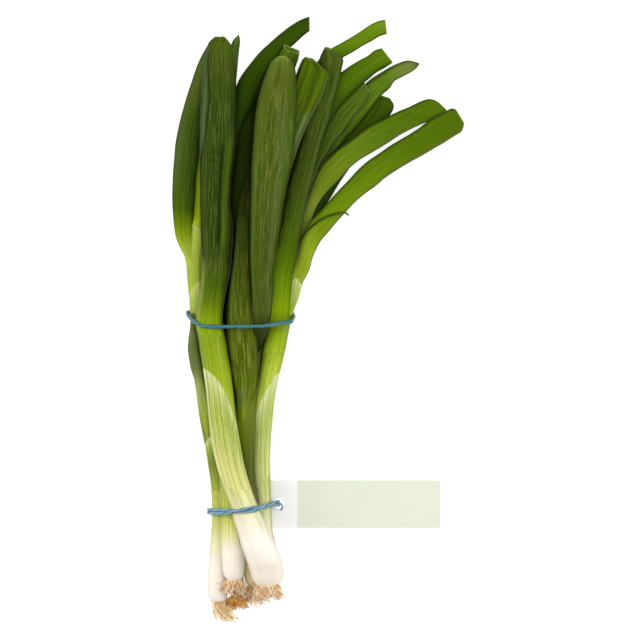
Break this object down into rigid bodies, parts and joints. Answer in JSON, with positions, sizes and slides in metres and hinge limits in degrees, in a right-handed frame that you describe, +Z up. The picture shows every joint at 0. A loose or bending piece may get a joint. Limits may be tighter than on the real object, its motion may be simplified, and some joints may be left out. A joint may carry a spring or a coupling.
{
  "type": "spring onion bunch",
  "caption": "Bunch of spring onions lying on its side, with white bulbs, long green leaves and root tufts, held by elastic bands, with a bare paper tag.",
  "frame": {"origin": "middle of the bunch's footprint, on the surface that it lies on", "axes": "+Y from the roots to the leaf ends, +Z up from the surface, +X to the side that the leaves fan out to"},
  "size_m": [0.1462, 0.3048, 0.0339],
  "materials": {
    "shank_green": "living stem, white at the bulb and yellow-green above, satin skin with fine ribs",
    "shank_pale": "living stem, white at the bulb and pale yellow-green above, satin skin with fine ribs",
    "root_tan": "dry tan root strands",
    "root_brown": "dry brown root strands",
    "leaf_dark": "dark green leaf with a grey waxy bloom",
    "leaf_mid": "bright green leaf, satin",
    "leaf_light": "light yellow-green leaf, satin",
    "leaf_lime": "young lime green leaf, satin",
    "elastic": "blue elastic band, matt",
    "tag_paper": "plain card, white stub and pale green panel, bare of print"
  },
  "bodies": {
    "root": {"onion_left_shank": "shank_green", "onion_front_shank": "shank_green", "onion_back_shank": "shank_green", "onion_middle_shank": "shank_pale", "onion_short_shank": "shank_pale", "onion_rim_shank": "shank_pale", "onion_left_roots": "root_tan", "onion_back_roots": "root_tan", "onion_short_roots": "root_tan", "onion_rim_roots": "root_tan", "onion_front_roots": "root_tan", "onion_middle_roots": "root_brown", "leaf_lime_inner": "leaf_lime", "leaf_left_outer": "leaf_dark", "leaf_left_small": "leaf_dark", "leaf_dark_middle": "leaf_dark", "leaf_right_dark": "leaf_dark", "leaf_right_tip": "leaf_mid", "leaf_right_back": "leaf_dark", "leaf_right_long": "leaf_mid", "leaf_right_lowest": "leaf_mid", "leaf_right_curl": "leaf_dark", "leaf_upper_pointed": "leaf_dark", "leaf_upper_low": "leaf_mid", "leaf_upper_high": "leaf_light", "leaf_high_long": "leaf_mid", "leaf_high_middle": "leaf_mid", "leaf_pale_rim": "leaf_dark", "leaf_front_right": "leaf_dark", "leaf_wide_behind": "leaf_dark", "leaf_front_middle": "leaf_dark", "leaf_front_point": "leaf_dark", "leaf_front_left": "leaf_dark", "elastic_band_upper": "elastic", "elastic_band_lower": "elastic", "paper_tag": "tag_paper"}
  },
  "joints": []
}
